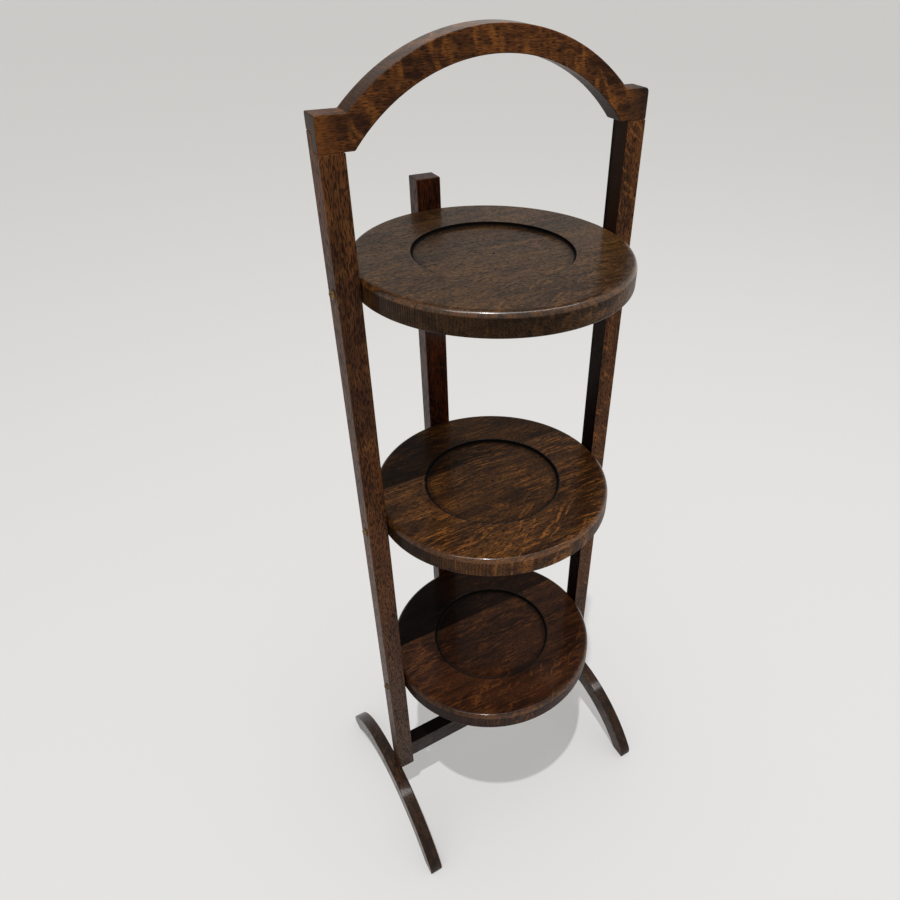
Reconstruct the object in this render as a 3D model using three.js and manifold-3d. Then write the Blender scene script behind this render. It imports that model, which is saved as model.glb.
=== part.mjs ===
// Folding three-tier cake stand in dark oak with brass fittings.
//
// Two square uprights, an arched carrying handle, a stretcher and two bracket feet make the frame.
// Three round plates turn on screws between the uprights. A bar behind them is hinged to the back
// of each plate, so all three fold up together until they lie flat in the plane of the frame.
//
// Millimetres, +Z up, X across the frame, -Y towards the user. The floor is z = 0 and the origin
// is under the middle of the whole stand.

import * as THREE from "three";
import { mergeVertices } from "three/addons/utils/BufferGeometryUtils.js";
import Module from "manifold-3d";

const wasm = await Module();
wasm.setup();

// Plates
const plateDiameter = 250;
const plateThickness = 22;
const plateTopEdgeRadius = 6;
const plateBottomEdgeRadius = 2.5;
const wellDiameter = 143;
const wellDepth = 3.5;
const wellCoveRadius = 6;
const wellLipRadius = 2;

// Heights of the tiers
const bottomTierHeight = 240;
const tierPitch = 254;
const tierNames = ["bottom", "middle", "top"];

// Uprights
const uprightWidth = 20;
const uprightDepth = 20;
const uprightBottomHeight = 58;
const shoulderAboveTopTier = 120;

// Handle: an arch between two flat shoulders, half-lapped onto the uprights
const archRise = 50.5;
const archThickness = 19.5;
const archShoulderInset = 3.7;
const shoulderHeight = 25;
const lapTongueHeight = 12.8;

// Stretcher, stub-tenoned into the uprights
const stretcherHeight = 28;
const stretcherDepth = 18;
const stretcherBottomHeight = 73;
const tenonLength = 10;
const tenonHeight = 20;
const tenonThickness = 8;

// Feet: an arched bracket screwed to the outer face of each upright
const footWidth = 15;
const footHalfLength = 129;
const footCrownHeight = 76;
const footCrownThickness = 26;
const footToeHeight = 8.5;
const footPadLength = 18.5;
const toeCornerLength = 3;

// Rear bar
const barWidth = 25;
const barDepth = 18.5;
const barOverhang = 28;

// Butt hinges between the plates and the rear bar
const hingeWidth = 22;
const hingeLeafLength = 18;
const hingeLeafThickness = 1.2;
const hingeBarrelRadius = 2;
const hingePinRadius = 1;
const hingePinHeadRadius = 1.5;
const hingePinHeadLength = 0.5;
const hingeMiddleKnuckleWidth = 8;

// Washers between a plate's rim and the uprights
const washerDiameter = 10.5;
const washerThickness = 0.8;

// Pivot screws: round heads outside the uprights, tips in the rims of the plates
const pivotHeadDiameter = 9;
const pivotHeadHeight = 2.8;
const pivotShankDiameter = 5;
const pivotReach = 17.6;
const pivotSlotWidth = 1.2;

// Countersunk screws; each reach is how far the tip goes into the second piece
const handleHeadDiameter = 6.4;
const handleHeadHeight = 1.6;
const handleShankDiameter = 3.4;
const handleReach = 6;
const footHeadDiameter = 7.4;
const footHeadHeight = 1.8;
const footShankDiameter = 4;
const footReach = 12.8;
const footScrewSpacing = 10;
const leafHeadDiameter = 4.6;
const leafHeadHeight = 1.1;
const leafShankDiameter = 2.4;
const leafReach = 8.8;
const leafScrewSpacing = 13;
const smallSlotWidth = 0.7;
const slotDepthShare = 0.45;
const screwTipShare = 1.5;

// Clearances
const jointGap = 0.2;
const fixedGap = 0.3;
const runningGap = 0.3;
const washerSideGap = 0.25;
const barRestGap = 0.3;
const knuckleGap = 0.3;
const pinGap = 0.25;
const cutOverrun = 2;

// Facets
const plateSides = 64;
const archSteps = 28;
const footSteps = 24;
const edgeSteps = 4;
const pivotSides = 16;
const screwSides = 12;
const barrelSides = 12;

// Derived places
const plateRadius = plateDiameter / 2;
const pivotDrop = plateThickness / 2;
const innerHalf = plateRadius + washerThickness + 2 * washerSideGap;
const outerHalf = innerHalf + uprightWidth;
const postCentre = innerHalf + uprightWidth / 2;
const postHalfDepth = uprightDepth / 2;
const tierHeights = tierNames.map((_, level) => bottomTierHeight + level * tierPitch);
const pivotHeights = tierHeights.map((height) => height - pivotDrop);
const topTierHeight = Math.max(...tierHeights);
const shoulderTop = topTierHeight + shoulderAboveTopTier;
const lapLine = shoulderTop - shoulderHeight;
const tongueTop = lapLine + lapTongueHeight;
const hingeStandOff = hingeBarrelRadius + fixedGap;
const barFront = plateRadius + barRestGap;
const barBottom = bottomTierHeight - plateThickness - barOverhang;
const barTop = topTierHeight + barOverhang;
const hingeY = barFront - hingeStandOff;
const hingeZ = -pivotDrop - hingeStandOff;
const leafScrewFromPin = (hingeLeafLength + hingeBarrelRadius) / 2;
const leafScrewSides = [-leafScrewSpacing / 2, leafScrewSpacing / 2];
const footScrewHeight = (uprightBottomHeight + footCrownHeight) / 2;
const footScrewOffsets = [-footScrewSpacing / 2, footScrewSpacing / 2];
const frameOffset = (footHalfLength - barFront - barDepth) / 2;
const pivotHeadEnd = outerHalf + runningGap + pivotHeadHeight;

// Screws, each with its length from the outer end of the head to the tip
const pivotLength = pivotHeadEnd - plateRadius + pivotReach;
const handleLength = postHalfDepth + handleReach;
const footLength = footWidth + jointGap + footReach;
const leafLength = hingeLeafThickness + leafReach;
const pivotScrew = screwSizes(pivotHeadDiameter, pivotHeadHeight, pivotShankDiameter, pivotLength);
const handleScrew = screwSizes(handleHeadDiameter, handleHeadHeight, handleShankDiameter, handleLength);
const footScrew = screwSizes(footHeadDiameter, footHeadHeight, footShankDiameter, footLength);
const leafScrew = screwSizes(leafHeadDiameter, leafHeadHeight, leafShankDiameter, leafLength);

function screwSizes(headDiameter, headHeight, shankDiameter, length) {
  return { headRadius: headDiameter / 2, headHeight, shankRadius: shankDiameter / 2, length };
}

// The hole that a screw sits in
function grown(screw, gap) {
  return {
    headRadius: screw.headRadius + gap,
    headHeight: screw.headHeight,
    shankRadius: screw.shankRadius + gap,
    length: screw.length + gap,
  };
}

// Finishes
function oak() {
  return new THREE.MeshStandardMaterial({ color: 0x47291b, roughness: 0.42, metalness: 0 });
}

function brass() {
  return new THREE.MeshStandardMaterial({ color: 0xa8813f, roughness: 0.35, metalness: 1 });
}

// Radius of the arc that rises this much over half of its chord
function arcRadius(halfChord, rise) {
  return (halfChord ** 2 + rise ** 2) / (2 * rise);
}

// One welded skin without the slivers that a lathe leaves at its poles
function welded(geometry) {
  const bare = geometry.clone();
  bare.deleteAttribute("normal");
  bare.deleteAttribute("uv");
  const merged = mergeVertices(bare);
  const corners = merged.index.array;
  const kept = [];
  for (let i = 0; i < corners.length; i += 3) {
    const [a, b, c] = corners.slice(i, i + 3);
    if (a !== b && b !== c && c !== a) {
      kept.push(a, b, c);
    }
  }
  merged.setIndex(kept);
  return merged;
}

function toSolid(geometry) {
  const skin = welded(geometry);
  const vertProperties = new Float32Array(skin.getAttribute("position").array);
  const triVerts = new Uint32Array(skin.index.array);
  return new wasm.Manifold(new wasm.Mesh({ numProp: 3, vertProperties, triVerts }));
}

function toGeometry(solid) {
  const mesh = solid.getMesh();
  const geometry = new THREE.BufferGeometry();
  geometry.setAttribute("position", new THREE.BufferAttribute(mesh.vertProperties, 3));
  geometry.setIndex(new THREE.BufferAttribute(mesh.triVerts, 1));
  geometry.computeVertexNormals();
  return geometry;
}

function cut(base, tools) {
  return toGeometry(tools.reduce((solid, tool) => solid.subtract(toSolid(tool)), toSolid(base)));
}

function join(pieces) {
  return toGeometry(pieces.map(toSolid).reduce((whole, piece) => whole.add(piece)));
}

function boxBetween(x0, x1, y0, y1, z0, z1) {
  const box = new THREE.BoxGeometry(x1 - x0, y1 - y0, z1 - z0);
  return box.translate((x0 + x1) / 2, (y0 + y1) / 2, (z0 + z1) / 2);
}

// An outline drawn in X and Z, given its thickness along Y
function slabAlongY(outline, y0, y1, steps) {
  const settings = { depth: y1 - y0, bevelEnabled: false, curveSegments: steps };
  const slab = new THREE.ExtrudeGeometry(outline, settings);
  return slab.rotateX(Math.PI / 2).translate(0, y1, 0);
}

// An outline drawn in Y and Z, given its thickness along X
function slabAlongX(outline, x0, x1, steps) {
  const settings = { depth: x1 - x0, bevelEnabled: false, curveSegments: steps };
  const slab = new THREE.ExtrudeGeometry(outline, settings);
  const turn = new THREE.Matrix4().makeBasis(
    new THREE.Vector3(0, 1, 0),
    new THREE.Vector3(0, 0, 1),
    new THREE.Vector3(1, 0, 0),
  );
  return slab.applyMatrix4(turn).translate(x0, 0, 0);
}

// A turned shape points along +Y until it is aimed
const aims = {
  left: (shape) => shape.rotateZ(Math.PI / 2),
  right: (shape) => shape.rotateZ(-Math.PI / 2),
  back: (shape) => shape,
  front: (shape) => shape.rotateX(Math.PI),
  up: (shape) => shape.rotateX(Math.PI / 2),
  down: (shape) => shape.rotateX(-Math.PI / 2),
};

function turned(points, sides) {
  return new THREE.LatheGeometry(points.map(([r, y]) => new THREE.Vector2(r, y)), sides);
}

function cylinderAlongX(radius, x0, x1, sides) {
  return aims.right(turned([[0, x0], [radius, x0], [radius, x1], [0, x1]], sides));
}

function arcPoints(centreR, centreY, radius, from, to, steps) {
  const points = [];
  for (let i = 0; i <= steps; i += 1) {
    const angle = from + ((to - from) * i) / steps;
    points.push([centreR + radius * Math.cos(angle), centreY + radius * Math.sin(angle)]);
  }
  return points;
}

// Screws: the head's outer end is at y = 0 and the tip points to -Y
function shankPoints(screw) {
  const tip = screw.shankRadius * screwTipShare;
  return [[0, -screw.length], [screw.shankRadius, tip - screw.length]];
}

function countersunkScrew(screw) {
  const head = [[screw.shankRadius, -screw.headHeight], [screw.headRadius, 0], [0, 0]];
  return slotted(turned([...shankPoints(screw), ...head], screwSides), screw, smallSlotWidth);
}

function countersunkHole(screw, gap) {
  const hole = grown(screw, gap);
  return turned([
    ...shankPoints(hole),
    [hole.shankRadius, -hole.headHeight],
    [hole.headRadius, 0],
    [hole.headRadius, cutOverrun],
    [0, cutOverrun],
  ], screwSides);
}

function roundHeadScrew(screw) {
  const { headRadius, headHeight } = screw;
  const domeRadius = arcRadius(headRadius, headHeight);
  const domeAngle = Math.asin((domeRadius - headHeight) / domeRadius);
  const dome = arcPoints(0, -domeRadius, domeRadius, domeAngle, Math.PI / 2, edgeSteps);
  const points = [
    ...shankPoints(screw),
    [screw.shankRadius, -headHeight],
    ...dome.slice(0, -1),
    [0, 0],
  ];
  return slotted(turned(points, pivotSides), screw, pivotSlotWidth);
}

function slotted(shape, screw, slotWidth) {
  const reach = screw.headRadius + cutOverrun;
  const depth = screw.headHeight * slotDepthShare;
  return cut(shape, [boxBetween(-reach, reach, -depth, cutOverrun, -slotWidth / 2, slotWidth / 2)]);
}

// Places of the screws that hold the frame together
const handleScrewPlaces = [-postCentre, postCentre].map((x) => (
  { x, y: postHalfDepth, z: (lapLine + tongueTop) / 2 }
));

function footScrewPlacesOn(side) {
  const outside = outerHalf + jointGap + footWidth;
  return footScrewOffsets.map((y) => ({ x: side * outside, y, z: footScrewHeight }));
}

function sideAim(side) {
  return side < 0 ? aims.left : aims.right;
}

function sideName(side) {
  return side < 0 ? "left" : "right";
}

// Uprights
function upright(side) {
  const xs = [side * innerHalf, side * outerHalf].sort((a, b) => a - b);
  const top = tongueTop - jointGap;
  const post = boxBetween(xs[0], xs[1], -postHalfDepth, postHalfDepth, uprightBottomHeight, top);
  const reach = postHalfDepth + cutOverrun;
  const lapNotch = boxBetween(
    xs[0] - cutOverrun,
    xs[1] + cutOverrun,
    -reach,
    jointGap,
    lapLine - jointGap,
    tongueTop + cutOverrun,
  );
  const borings = pivotHeights.map((height) => {
    const bore = pivotScrew.shankRadius + runningGap;
    return cylinderAlongX(bore, xs[0] - cutOverrun, xs[1] + cutOverrun, pivotSides).translate(0, 0, height);
  });
  const footHoles = footScrewPlacesOn(side).map(({ x, y, z }) => (
    sideAim(side)(countersunkHole(footScrew, fixedGap)).translate(x, y, z)
  ));
  const handleHoles = handleScrewPlaces.filter(({ x }) => x * side > 0).map(({ x, y, z }) => (
    aims.back(countersunkHole(handleScrew, fixedGap)).translate(x, y, z)
  ));
  return cut(post, [lapNotch, mortise(side), ...borings, ...footHoles, ...handleHoles]);
}

function mortise(side) {
  const mouth = innerHalf - cutOverrun;
  const end = innerHalf + tenonLength + fixedGap;
  const xs = [side * mouth, side * end].sort((a, b) => a - b);
  const halfThickness = tenonThickness / 2 + jointGap;
  const halfHeight = tenonHeight / 2 + jointGap;
  const centre = stretcherBottomHeight + stretcherHeight / 2;
  return boxBetween(xs[0], xs[1], -halfThickness, halfThickness, centre - halfHeight, centre + halfHeight);
}

// Handle
function handle() {
  const outerRadius = arcRadius(innerHalf - archShoulderInset, archRise);
  const innerRadius = outerRadius - archThickness;
  const centreZ = shoulderTop + archRise - outerRadius;
  const outerStart = Math.asin((shoulderTop - centreZ) / outerRadius);
  const innerStart = Math.asin((lapLine - centreZ) / innerRadius);
  const innerFoot = innerRadius * Math.cos(innerStart);
  const outline = new THREE.Shape();
  outline.moveTo(innerFoot, lapLine);
  outline.lineTo(outerHalf, lapLine);
  outline.lineTo(outerHalf, shoulderTop);
  outline.absarc(0, centreZ, outerRadius, outerStart, Math.PI - outerStart, false);
  outline.lineTo(-outerHalf, shoulderTop);
  outline.lineTo(-outerHalf, lapLine);
  outline.absarc(0, centreZ, innerRadius, Math.PI - innerStart, innerStart, true);
  const arch = slabAlongY(outline, -postHalfDepth, postHalfDepth, archSteps);
  const laps = [-1, 1].map((side) => {
    const xs = [side * (innerHalf - jointGap), side * (outerHalf + cutOverrun)].sort((a, b) => a - b);
    return boxBetween(xs[0], xs[1], 0, postHalfDepth + cutOverrun, lapLine - cutOverrun, tongueTop);
  });
  const screwHoles = handleScrewPlaces.map(({ x, y, z }) => (
    aims.back(countersunkHole(handleScrew, fixedGap)).translate(x, y, z)
  ));
  return cut(arch, [...laps, ...screwHoles]);
}

// Stretcher
function stretcher() {
  const halfLength = innerHalf - jointGap;
  const centre = stretcherBottomHeight + stretcherHeight / 2;
  const railTop = stretcherBottomHeight + stretcherHeight;
  const rail = boxBetween(
    -halfLength,
    halfLength,
    -stretcherDepth / 2,
    stretcherDepth / 2,
    stretcherBottomHeight,
    railTop,
  );
  const tenonReach = innerHalf + tenonLength;
  const tenons = boxBetween(
    -tenonReach,
    tenonReach,
    -tenonThickness / 2,
    tenonThickness / 2,
    centre - tenonHeight / 2,
    centre + tenonHeight / 2,
  );
  return join([rail, tenons]);
}

// Feet
function foot(side) {
  const padStart = footHalfLength - footPadLength;
  const archHeight = footCrownHeight - footCrownThickness;
  const archRadius = arcRadius(padStart, archHeight);
  const archCentre = archHeight - archRadius;
  const archAngle = Math.asin(-archCentre / archRadius);
  const topRadius = arcRadius(footHalfLength, footCrownHeight - footToeHeight);
  const topCentre = footCrownHeight - topRadius;
  const toeAngle = Math.acos((footHalfLength - toeCornerLength / 2) / topRadius);
  const toeY = topRadius * Math.cos(toeAngle);
  const toeZ = topCentre + topRadius * Math.sin(toeAngle);
  const outline = new THREE.Shape();
  outline.moveTo(-footHalfLength, 0);
  outline.lineTo(-padStart, 0);
  outline.absarc(0, archCentre, archRadius, Math.PI - archAngle, archAngle, true);
  outline.lineTo(footHalfLength, 0);
  outline.lineTo(footHalfLength, footToeHeight - toeCornerLength);
  outline.lineTo(toeY, toeZ);
  outline.absarc(0, topCentre, topRadius, toeAngle, Math.PI - toeAngle, false);
  outline.lineTo(-footHalfLength, footToeHeight - toeCornerLength);
  const near = outerHalf + jointGap;
  const xs = [side * near, side * (near + footWidth)].sort((a, b) => a - b);
  const bracket = slabAlongX(outline, xs[0], xs[1], footSteps);
  const holes = footScrewPlacesOn(side).map(({ x, y, z }) => (
    sideAim(side)(countersunkHole(footScrew, fixedGap)).translate(x, y, z)
  ));
  return cut(bracket, holes);
}

// Plates, drawn about their pivot
function plate() {
  const half = plateThickness / 2;
  const wellRadius = wellDiameter / 2;
  const sweep = Math.acos(1 - wellDepth / (wellCoveRadius + wellLipRadius));
  const floorRadius = wellRadius - (wellCoveRadius + wellLipRadius) * Math.sin(sweep);
  const floorZ = half - wellDepth;
  const quarter = Math.PI / 2;
  const fewSteps = edgeSteps / 2;
  const low = plateBottomEdgeRadius;
  const high = plateTopEdgeRadius;
  const cove = wellCoveRadius;
  const profile = [
    [0, -half],
    ...arcPoints(plateRadius - low, low - half, low, -quarter, 0, fewSteps),
    ...arcPoints(plateRadius - high, half - high, high, 0, quarter, edgeSteps),
    ...arcPoints(wellRadius, half - wellLipRadius, wellLipRadius, quarter, quarter + sweep, fewSteps),
    ...arcPoints(floorRadius, floorZ + cove, cove, sweep - quarter, -quarter, fewSteps).slice(1),
    [0, floorZ],
  ];
  const disc = aims.up(turned(profile, plateSides));
  const pivotHoles = [-1, 1].map((side) => pivotScrewAt(side, grown(pivotScrew, fixedGap), turnedShank));
  const leafHoles = leafScrewSides.map((x) => (
    aims.down(countersunkHole(leafScrew, fixedGap))
      .translate(x, hingeY - leafScrewFromPin, hingeZ + hingeStandOff - hingeLeafThickness)
  ));
  return cut(disc, [...pivotHoles, ...leafHoles]);
}

// The hole for a pivot screw is as long as the screw and wider by the gap
function turnedShank(screw) {
  return turned([...shankPoints(screw), [screw.shankRadius, 0], [0, 0]], pivotSides);
}

function pivotScrewAt(side, screw, makeShape) {
  return sideAim(side)(makeShape(screw)).translate(side * pivotHeadEnd, 0, 0);
}

function washer(side) {
  const near = plateRadius + washerSideGap;
  const outer = washerDiameter / 2;
  const bore = pivotScrew.shankRadius + fixedGap;
  const section = [[bore, 0], [outer, 0], [outer, washerThickness], [bore, washerThickness], [bore, 0]];
  return sideAim(side)(turned(section, pivotSides)).translate(side * near, 0, 0);
}

// Hinges, drawn about their pin: the plate lies above it and the bar behind it
function knuckle(x0, x1) {
  return cylinderAlongX(hingeBarrelRadius, x0, x1, barrelSides);
}

function pinBore() {
  const reach = hingeWidth / 2 + cutOverrun;
  return cylinderAlongX(hingePinRadius + pinGap, -reach, reach, barrelSides);
}

function plateLeaf() {
  const half = hingeWidth / 2;
  const middle = hingeMiddleKnuckleWidth / 2 + knuckleGap;
  const clear = hingeBarrelRadius + knuckleGap;
  const low = hingeStandOff - hingeLeafThickness;
  const leaf = boxBetween(-half, half, -hingeLeafLength, 0, low, hingeStandOff);
  const whole = join([leaf, knuckle(-half, -middle), knuckle(middle, half)]);
  const notch = boxBetween(-middle, middle, -clear, clear + cutOverrun, -clear, hingeStandOff + cutOverrun);
  const holes = leafScrewSides.map((x) => (
    aims.down(countersunkHole(leafScrew, fixedGap)).translate(x, -leafScrewFromPin, low)
  ));
  return cut(whole, [notch, pinBore(), ...holes]);
}

function barLeaf() {
  const half = hingeWidth / 2;
  const middle = hingeMiddleKnuckleWidth / 2;
  const clear = hingeBarrelRadius + knuckleGap;
  const low = hingeStandOff - hingeLeafThickness;
  const leaf = boxBetween(-half, half, low, hingeStandOff, -hingeLeafLength, 0);
  const whole = join([leaf, knuckle(-middle, middle)]);
  const notches = [-1, 1].map((side) => {
    const xs = [side * (middle + knuckleGap), side * (half + cutOverrun)].sort((a, b) => a - b);
    return boxBetween(xs[0], xs[1], -clear, hingeStandOff + cutOverrun, -clear, clear + cutOverrun);
  });
  const holes = leafScrewSides.map((x) => (
    aims.front(countersunkHole(leafScrew, fixedGap)).translate(x, low, -leafScrewFromPin)
  ));
  return cut(whole, [...notches, pinBore(), ...holes]);
}

function hingePin() {
  const half = hingeWidth / 2 + fixedGap;
  const end = half + hingePinHeadLength;
  return aims.right(turned([
    [0, -end],
    [hingePinHeadRadius, -end],
    [hingePinHeadRadius, -half],
    [hingePinRadius, -half],
    [hingePinRadius, half],
    [hingePinHeadRadius, half],
    [hingePinHeadRadius, end],
    [0, end],
  ], barrelSides));
}

function plateLeafScrew(x) {
  const screw = aims.down(countersunkScrew(leafScrew));
  return screw.translate(x, -leafScrewFromPin, hingeStandOff - hingeLeafThickness);
}

function barLeafScrew(x) {
  const screw = aims.front(countersunkScrew(leafScrew));
  return screw.translate(x, hingeStandOff - hingeLeafThickness, -leafScrewFromPin);
}

// Rear bar
function rearBar() {
  const bar = boxBetween(-barWidth / 2, barWidth / 2, barFront, barFront + barDepth, barBottom, barTop);
  const holes = pivotHeights.flatMap((height) => leafScrewSides.map((x) => (
    aims.front(countersunkHole(leafScrew, fixedGap))
      .translate(x, barFront - hingeLeafThickness, height + hingeZ - leafScrewFromPin)
  )));
  return cut(bar, holes);
}

// Assembly
const stand = new THREE.Group();
stand.position.y = frameOffset;

function addPiece(parent, name, geometry, material) {
  const mesh = new THREE.Mesh(geometry, material);
  mesh.name = name;
  parent.add(mesh);
}

function buildFrame() {
  addPiece(stand, "left_upright", upright(-1), oak());
  addPiece(stand, "right_upright", upright(1), oak());
  addPiece(stand, "handle", handle(), oak());
  addPiece(stand, "stretcher", stretcher(), oak());
  addPiece(stand, "left_foot", foot(-1), oak());
  addPiece(stand, "right_foot", foot(1), oak());
  for (const { x, y, z } of handleScrewPlaces) {
    const screw = aims.back(countersunkScrew(handleScrew)).translate(x, y, z);
    addPiece(stand, `${sideName(x)}_handle_screw`, screw, brass());
  }
  for (const { x, y, z } of [-1, 1].flatMap(footScrewPlacesOn)) {
    const screw = sideAim(x)(countersunkScrew(footScrew)).translate(x, y, z);
    addPiece(stand, `${sideName(x)}_foot_${y < 0 ? "front" : "back"}_screw`, screw, brass());
  }
}

function buildTier(name, pivotHeight) {
  const tier = new THREE.Group();
  tier.position.z = pivotHeight;
  stand.add(tier);
  addPiece(tier, `${name}_plate`, plate(), oak());
  for (const side of [-1, 1]) {
    const screw = pivotScrewAt(side, pivotScrew, roundHeadScrew);
    addPiece(tier, `${name}_${sideName(side)}_pivot_screw`, screw, brass());
    addPiece(tier, `${name}_${sideName(side)}_washer`, washer(side), brass());
  }
  const hinge = new THREE.Group();
  hinge.position.set(0, hingeY, hingeZ);
  tier.add(hinge);
  addPiece(hinge, `${name}_hinge_plate_leaf`, plateLeaf(), brass());
  addPiece(hinge, `${name}_hinge_bar_leaf`, barLeaf(), brass());
  addPiece(hinge, `${name}_hinge_pin`, hingePin(), brass());
  for (const x of leafScrewSides) {
    addPiece(hinge, `${name}_plate_leaf_${sideName(x)}_screw`, plateLeafScrew(x), brass());
    addPiece(hinge, `${name}_bar_leaf_${sideName(x)}_screw`, barLeafScrew(x), brass());
  }
}

buildFrame();
tierNames.forEach((name, level) => buildTier(name, pivotHeights[level]));
addPiece(stand, "rear_bar", rearBar(), oak());

export default stand;
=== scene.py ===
# %% [markdown]
# # A folding cake stand in dark oak
#
# Two uprights, an arched handle, a stretcher and two feet make the frame. Three turned plates
# swing on brass screws between the uprights, and a bar hinged to each of them makes them fold
# together. The solids come from the CAD model. This lesson dresses them: softened edges,
# quarter-sawn oak with its rays, a worn polish and aged brass.

# %% Load the frame
from functools import partial
from math import asin, cos, degrees, pi, radians, sin, tau
from types import SimpleNamespace

import bmesh
import bpy
from mathutils import Matrix, Vector


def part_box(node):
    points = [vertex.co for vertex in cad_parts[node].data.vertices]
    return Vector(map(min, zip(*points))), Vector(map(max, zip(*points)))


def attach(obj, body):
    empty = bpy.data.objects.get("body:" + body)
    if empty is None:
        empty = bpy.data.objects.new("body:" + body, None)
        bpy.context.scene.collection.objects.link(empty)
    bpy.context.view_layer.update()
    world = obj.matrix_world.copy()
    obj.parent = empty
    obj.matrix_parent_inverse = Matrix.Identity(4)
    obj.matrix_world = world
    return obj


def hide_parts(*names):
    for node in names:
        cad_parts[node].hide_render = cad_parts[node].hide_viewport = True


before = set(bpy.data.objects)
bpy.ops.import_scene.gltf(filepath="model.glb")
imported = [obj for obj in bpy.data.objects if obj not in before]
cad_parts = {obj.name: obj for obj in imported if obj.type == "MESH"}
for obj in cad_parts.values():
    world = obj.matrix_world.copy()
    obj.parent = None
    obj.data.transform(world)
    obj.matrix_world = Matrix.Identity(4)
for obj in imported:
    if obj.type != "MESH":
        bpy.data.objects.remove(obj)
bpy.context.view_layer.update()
TIERS = ("bottom", "middle", "top")
SIDES = ("left", "right")
scene = bpy.context.scene

# %% [markdown]
# ## Camera
#
# The photograph looks down on the stand from its front left, with a wide lens held close. The
# numbers below make the corners of the stand fall on the same pixels as in the photograph. The
# lens shift stands for the part of the picture that was cropped away.

# %% Camera
PICTURE = 900
SENSOR = 36.0
FOCAL_PIXELS = 712.3
CENTRE_X = 529.57
CENTRE_Y = 455.45
CAMERA_PLACE = Vector((-0.30479, -0.52730, 0.97676))
CAMERA_TURN = -0.59507
CAMERA_DIP = 0.64245
CAMERA_ROLL = -0.04563
NEAREST = 0.01


def set_all(thing, **settings):
    """Set several options of a thing."""
    for option, value in settings.items():
        setattr(thing, option, value)
    return thing


def add_object(name, data):
    """Put a new object into the scene."""
    thing = bpy.data.objects.new(name, data)
    scene.collection.objects.link(thing)
    return thing


lens = set_all(
    bpy.data.cameras.new("camera"), sensor_width=SENSOR, lens=FOCAL_PIXELS / PICTURE * SENSOR,
    shift_x=0.5 - CENTRE_X / PICTURE, shift_y=CENTRE_Y / PICTURE - 0.5, clip_start=NEAREST)
scene.camera = add_object("camera", lens)
pose = Matrix.Translation(CAMERA_PLACE)
for angle, axis in ((CAMERA_TURN, "Z"), (pi / 2 - CAMERA_DIP, "X"), (-CAMERA_ROLL, "Z")):
    pose = pose @ Matrix.Rotation(angle, 4, axis)
scene.camera.matrix_world = pose
print(f"lens {lens.lens:.1f} mm, shift {lens.shift_x:.3f}, {lens.shift_y:.3f}")

# %% [markdown]
# ## Small helpers for node trees
#
# A node tree is easier to read when each line says what it makes. These helpers feed a socket
# from another socket or a plain number, do sums, and mix colours. Each finds its tree from the
# sockets it is given, so they serve shaders and Geometry Nodes alike.

# %% Node helpers


def tree_of(*values):
    """The node tree of the first socket among these values."""
    return next(value.id_data for value in values if isinstance(value, bpy.types.NodeSocket))


def feed(socket, value):
    """Link a socket to another socket, or set it to a plain value."""
    if isinstance(value, bpy.types.NodeSocket):
        socket.id_data.links.new(value, socket)
    else:
        socket.default_value = value


def feed_all(node, inputs):
    """Feed the inputs of a node by name or by number."""
    for key, value in inputs.items():
        feed(node.inputs[key], value)
    return node


def place(tree, kind, inputs=None, **settings):
    """Add a node, set its options, and feed its inputs."""
    return feed_all(set_all(tree.nodes.new(kind), **settings), inputs or {})


def sum_of(operation, *values):
    """One Math node."""
    inputs = dict(enumerate(values))
    return place(tree_of(*values), "ShaderNodeMath", inputs, operation=operation).outputs[0]


def folded(operation, first, *others):
    """The same Math node for two or more values, one after the other."""
    for other in others:
        first = sum_of(operation, first, other)
    return first


product = partial(folded, "MULTIPLY")
highest = partial(folded, "MAXIMUM")
one_minus = partial(sum_of, "SUBTRACT", 1.0)
# scaled(value, factor, offset) is the value times the factor plus the offset.
scaled = partial(sum_of, "MULTIPLY_ADD")


def changed(mask, change):
    """1 away from a mask, and 1 plus the change where the mask is full."""
    return scaled(mask, change, 1.0)


def vector_of(operation, *values, output="Vector"):
    """One Vector Math node."""
    inputs = dict(enumerate(values))
    node = place(tree_of(*values), "ShaderNodeVectorMath", inputs, operation=operation)
    return node.outputs[output]


def xyz(vector):
    """The three parts of a vector."""
    return place(tree_of(vector), "ShaderNodeSeparateXYZ", {0: vector}).outputs


def vector_from(x, y, z):
    """A vector made of three values."""
    return place(tree_of(x, y, z), "ShaderNodeCombineXYZ", {"X": x, "Y": y, "Z": z}).outputs[0]


def ramp(value, low, high):
    """0 below low, 1 above high, and a smooth step between them."""
    inputs = {"Value": value, "From Min": low, "From Max": high}
    node = place(tree_of(value), "ShaderNodeMapRange", inputs, interpolation_type="SMOOTHSTEP")
    return node.outputs[0]


def mixed(share, first, second, mode="MIX"):
    """Mix two colours."""
    return place(tree_of(share, first, second), "ShaderNodeMix", {
        0: share, 6: first, 7: second,
    }, data_type="RGBA", blend_type=mode).outputs[2]


def cloud(vector, size, detail=2.0, bend=0.0):
    """Noise with patches of about this size along each axis."""
    stretched = vector_of("DIVIDE", vector, size)
    inputs = {"Vector": stretched, "Scale": 1.0, "Detail": detail, "Distortion": bend}
    return place(tree_of(vector), "ShaderNodeTexNoise", inputs).outputs["Fac"]


print("node helpers ready")

# %% [markdown]
# ## Helpers for groups and materials
#
# A node group holds what several materials share. It starts with its named sockets, and each
# material then places it and feeds those names.

# %% Helpers for groups and materials
FLOAT = "NodeSocketFloat"
VECTOR = "NodeSocketVector"
COLOUR = "NodeSocketColor"
GEOMETRY = "NodeSocketGeometry"
TYPE_OF = {float: FLOAT, int: "NodeSocketInt", tuple: COLOUR}


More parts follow.
